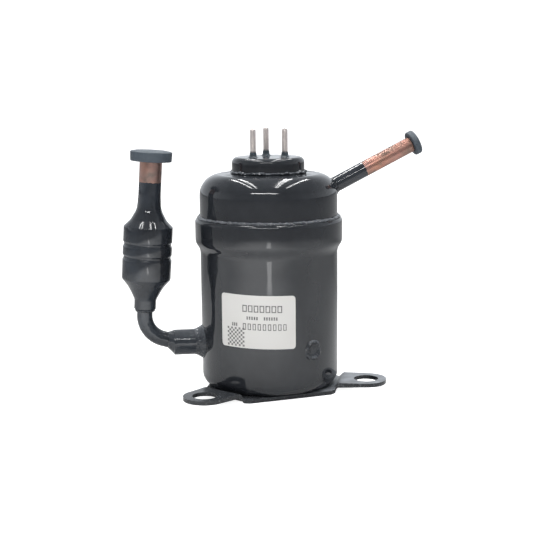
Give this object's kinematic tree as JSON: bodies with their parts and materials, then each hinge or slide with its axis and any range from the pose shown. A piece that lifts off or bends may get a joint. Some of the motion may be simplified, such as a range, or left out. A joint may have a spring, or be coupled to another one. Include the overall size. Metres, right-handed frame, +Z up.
{
  "type": "hermetic rotary compressor",
  "caption": "Small hermetic rotary refrigeration compressor: black welded shell on a three-eared base plate, side accumulator, angled discharge tube and top terminal pins.",
  "frame": {"origin": "centre of the base plate's flat underside, on the crankshaft's axis", "axes": "+Z up along the crankshaft towards the terminal pins; -X towards the accumulator, +X towards the discharge tube; +Y is the third axis of the right-handed frame"},
  "size_m": [0.1254, 0.0824, 0.1064],
  "materials": {
    "black_enamel": "glossy black baked enamel over steel",
    "copper_tube": "bare drawn copper, lightly tarnished, its lower runs under the black enamel",
    "terminal_pin_alloy": "dull nickel-iron pin",
    "sealing_glass": "dark sealing glass with a resin sleeve",
    "label_film": "matt off-white film",
    "plug_rubber": "matt blue-grey rubber",
    "grey_iron": "ground grey iron",
    "machined_steel": "machined steel",
    "lamination_steel": "stacked silicon-steel laminations",
    "coated_magnet": "epoxy-coated magnet",
    "winding_wire": "enamelled copper wire",
    "white_resin": "moulded resin",
    "lead_sleeve": "woven lead sleeve",
    "weight_brass": "machined brass"
  },
  "bodies": {
    "housing": {"base_plate": "black_enamel", "main_shell": "black_enamel", "upper_cap": "black_enamel", "seam_weld": "black_enamel", "plug_welds": "black_enamel", "terminal_cup": "black_enamel", "terminal_weld": "black_enamel", "glass_seals": "sealing_glass", "terminal_pins": "terminal_pin_alloy", "lead_connector": "white_resin", "motor_leads": "lead_sleeve", "discharge_tube": "copper_tube", "discharge_braze": "black_enamel", "suction_stub": "black_enamel", "stub_weld": "black_enamel", "suction_elbow": "copper_tube", "elbow_braze": "black_enamel", "accumulator_shell": "copper_tube", "accumulator_baffle": "machined_steel", "accumulator_screen": "machined_steel", "accumulator_braze": "black_enamel", "rating_label": "label_film", "stator_core": "lamination_steel", "stator_windings": "winding_wire", "upper_insulator": "white_resin", "lower_insulator": "white_resin", "pump_cylinder": "grey_iron", "main_bearing": "grey_iron", "lower_bearing": "grey_iron", "discharge_muffler": "machined_steel", "upper_pump_bolts": "machined_steel", "lower_pump_bolts": "machined_steel", "valve_stop": "machined_steel", "valve_screw": "machined_steel", "vane_spring": "machined_steel"},
    "crank": {"crankshaft": "machined_steel", "oil_pickup": "machined_steel", "rotor_core": "lamination_steel", "rotor_magnets": "coated_magnet", "rotor_sleeve": "machined_steel", "rotor_end_plates": "machined_steel", "upper_balance_weight": "weight_brass", "lower_balance_weight": "weight_brass", "rotor_rivets": "machined_steel"},
    "piston": {"rolling_piston": "grey_iron"},
    "vane_body": {"vane": "machined_steel"},
    "reed": {"discharge_reed": "machined_steel"},
    "suction_cap": {"suction_plug": "plug_rubber"},
    "discharge_cap": {"discharge_plug": "plug_rubber"}
  },
  "joints": [
    {"name": "crank_spin", "type": "hinge", "parent": "housing", "child": "crank", "pos_m": [0, 0, 0.0198], "axis": [0, 0, 1], "continuous": true},
    {"name": "piston_roll", "type": "hinge", "parent": "crank", "child": "piston", "pos_m": [0.00239, -0.00073, 0.0198], "axis": [0, 0, 1], "continuous": true},
    {"name": "vane_slide", "type": "slide", "parent": "housing", "child": "vane_body", "axis": [-0.8829, -0.4695, 0], "range_m": [-0.00435, 0], "deforming": ["vane_spring"]},
    {"name": "reed_lift", "type": "hinge", "parent": "housing", "child": "reed", "pos_m": [0.00612, -0.01102, 0.02985], "axis": [0.0702, 0.9975, 0], "range_deg": [0, 5], "stiffness_Nm_per_rad": 0.02},
    {"name": "suction_plug_pull", "type": "slide", "parent": "housing", "child": "suction_cap", "axis": [0.0671, 0, 0.9977], "range_m": [0, 0.03]},
    {"name": "discharge_plug_pull", "type": "slide", "parent": "housing", "child": "discharge_cap", "axis": [0.8969, 0.0785, 0.4352], "range_m": [0, 0.03]}
  ],
  "couplings": [
    {"joint": "piston_roll", "follows": "crank_spin", "ratio": -1.218}
  ]
}
